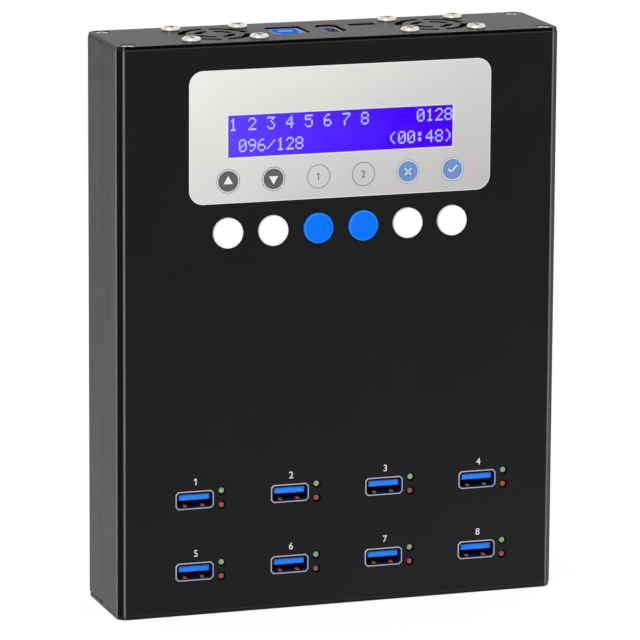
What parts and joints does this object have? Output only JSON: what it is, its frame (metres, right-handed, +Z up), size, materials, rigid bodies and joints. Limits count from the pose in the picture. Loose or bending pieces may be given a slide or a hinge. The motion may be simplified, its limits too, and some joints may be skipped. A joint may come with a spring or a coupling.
{
  "type": "usb duplicator",
  "caption": "Upright slab-shaped duplicator case with rows of front sockets and lamps, a display panel, round push buttons and two small fans in its top plate.",
  "frame": {"origin": "middle of the bottom plate's outer face, which it stands on", "axes": "+Z up, -Y out of the front face with the sockets, +X to the right seen from the front"},
  "size_m": [0.158, 0.0419, 0.1994],
  "materials": {
    "black_anodised": "black satin anodised aluminium",
    "screw_steel": "bright plated steel",
    "label_silver": "silver printed plastic sheet",
    "window_clear": "clear acrylic pane",
    "display_blue": "lit blue display",
    "bezel_steel": "pressed steel frame",
    "board_green": "green circuit board",
    "button_white": "white moulded plastic",
    "button_blue": "blue moulded plastic",
    "part_black": "black moulded plastic",
    "socket_steel": "plated steel",
    "tongue_blue": "blue moulded plastic",
    "contact_copper": "copper spring strip",
    "lamp_green": "green tinted lens, unlit",
    "lamp_red": "red tinted lens, unlit",
    "sink_aluminium": "plain aluminium",
    "bearing_brass": "sintered brass",
    "coil_copper": "enamelled copper winding",
    "foot_rubber": "black rubber",
    "lead_black": "black insulated lead"
  },
  "bodies": {
    "case": {"board_header": "part_black", "bottom_end_plate": "black_anodised", "bottom_plate_screws": "screw_steel", "bridge_chips": "part_black", "control_label": "label_silver", "display_backlight": "display_blue", "display_bezel": "bezel_steel", "display_board": "board_green", "display_glass": "display_blue", "display_screws": "screw_steel", "display_spacers": "bezel_steel", "display_window": "window_clear", "fan_bearings": "bearing_brass", "fan_lead_sockets": "part_black", "fan_leads": "lead_black", "fan_nuts": "screw_steel", "fan_screws": "screw_steel", "fan_stators": "coil_copper", "front_board": "board_green", "front_shell": "black_anodised", "green_lamps": "lamp_green", "heat_sink": "sink_aluminium", "host_port_shell": "socket_steel", "host_port_tongue": "tongue_blue", "inlet_shell": "socket_steel", "inlet_tongue": "part_black", "key_switches": "part_black", "left_fan_frame": "part_black", "link_port_insert": "tongue_blue", "link_port_shell": "socket_steel", "lower_port_shells": "socket_steel", "lower_port_tongues": "tongue_blue", "main_board": "board_green", "main_chips": "part_black", "port_contacts": "contact_copper", "rear_shell": "black_anodised", "red_lamps": "lamp_red", "right_fan_frame": "part_black", "rubber_feet": "foot_rubber", "top_end_plate": "black_anodised", "top_plate_screws": "screw_steel", "upper_port_shells": "socket_steel", "upper_port_tongues": "tongue_blue"},
    "up_key": {"button_up": "button_white", "plunger_up": "part_black"},
    "down_key": {"button_down": "button_white", "plunger_down": "part_black"},
    "one_key": {"button_one": "button_blue", "plunger_one": "part_black"},
    "two_key": {"button_two": "button_blue", "plunger_two": "part_black"},
    "cancel_key": {"button_cancel": "button_white", "plunger_cancel": "part_black"},
    "enter_key": {"button_enter": "button_white", "plunger_enter": "part_black"},
    "left_fan": {"left_fan_rotor": "part_black", "left_fan_shaft": "screw_steel"},
    "right_fan": {"right_fan_rotor": "part_black", "right_fan_shaft": "screw_steel"}
  },
  "joints": [
    {"name": "up_press", "type": "slide", "parent": "case", "child": "up_key", "axis": [0, 1, 0], "range_m": [0, 0.0005], "stiffness_N_per_m": 500, "springref_m": -0.001},
    {"name": "down_press", "type": "slide", "parent": "case", "child": "down_key", "axis": [0, 1, 0], "range_m": [0, 0.0005], "stiffness_N_per_m": 500, "springref_m": -0.001},
    {"name": "one_press", "type": "slide", "parent": "case", "child": "one_key", "axis": [0, 1, 0], "range_m": [0, 0.0005], "stiffness_N_per_m": 500, "springref_m": -0.001},
    {"name": "two_press", "type": "slide", "parent": "case", "child": "two_key", "axis": [0, 1, 0], "range_m": [0, 0.0005], "stiffness_N_per_m": 500, "springref_m": -0.001},
    {"name": "cancel_press", "type": "slide", "parent": "case", "child": "cancel_key", "axis": [0, 1, 0], "range_m": [0, 0.0005], "stiffness_N_per_m": 500, "springref_m": -0.001},
    {"name": "enter_press", "type": "slide", "parent": "case", "child": "enter_key", "axis": [0, 1, 0], "range_m": [0, 0.0005], "stiffness_N_per_m": 500, "springref_m": -0.001},
    {"name": "left_fan_spin", "type": "hinge", "parent": "case", "child": "left_fan", "pos_m": [-0.039, 0, 0.1916], "axis": [0, 0, 1], "continuous": true},
    {"name": "right_fan_spin", "type": "hinge", "parent": "case", "child": "right_fan", "pos_m": [0.039, 0, 0.1916], "axis": [0, 0, 1], "continuous": true}
  ]
}
